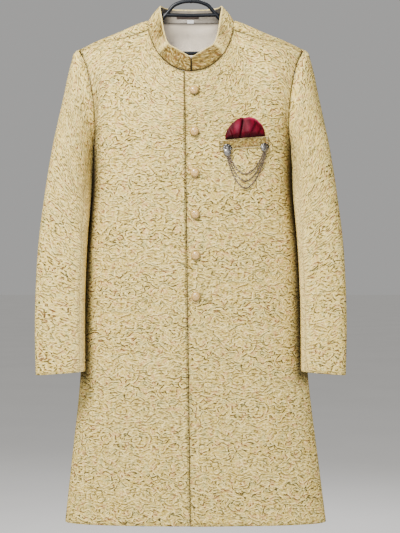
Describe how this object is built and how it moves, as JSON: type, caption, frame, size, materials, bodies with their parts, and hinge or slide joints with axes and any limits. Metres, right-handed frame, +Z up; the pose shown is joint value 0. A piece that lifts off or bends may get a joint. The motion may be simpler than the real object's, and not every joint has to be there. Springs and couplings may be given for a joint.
{
  "type": "sherwani coat on hanger",
  "caption": "Long buttoned sherwani coat with a stand collar, breast pocket square and brooch chains, hung open at hem and cuffs on a plain wide-shouldered hanger.",
  "frame": {"origin": "where the inside of the hanger's hook bears on its rail", "axes": "+Z up, the coat's front faces -Y, +X towards the wearer's left"},
  "size_m": [0.6266, 0.1965, 1.1492],
  "materials": {
    "brocade": "pale gold jacquard brocade with a soft sheen and a small broken-line pattern",
    "collar_brocade": "the same brocade over a firm interlining, a little darker and glossier",
    "lining": "pale grey-beige satin lining, smooth with a soft gloss",
    "button_cloth": "satin-faced cloth drawn over a dome, soft highlight",
    "crimson": "deep crimson satin, soft gloss on the folds",
    "silver": "antique silver, dulled in the hollows",
    "dark_label": "dark woven ribbon, blank",
    "white_label": "white ribbon tab, blank",
    "black_plastic": "black moulded plastic, slightly glossy"
  },
  "bodies": {
    "root": {"back": "brocade", "brooch_inner": "silver", "brooch_outer": "silver", "button_1": "button_cloth", "button_2": "button_cloth", "button_3": "button_cloth", "button_4": "button_cloth", "button_5": "button_cloth", "button_6": "button_cloth", "chain_1": "silver", "chain_2": "silver", "chain_3": "silver", "collar": "collar_brocade", "collar_lining": "lining", "front_left": "brocade", "front_right": "brocade", "hanger_arm_left": "black_plastic", "hanger_arm_right": "black_plastic", "hanger_bar": "black_plastic", "hanger_brace": "black_plastic", "hanger_hook": "black_plastic", "lining_back": "lining", "neck_label": "dark_label", "pocket_square": "crimson", "pocket_welt": "brocade", "size_tab": "white_label", "sleeve_left_top": "brocade", "sleeve_left_under": "brocade", "sleeve_right_top": "brocade", "sleeve_right_under": "brocade"}
  },
  "joints": []
}
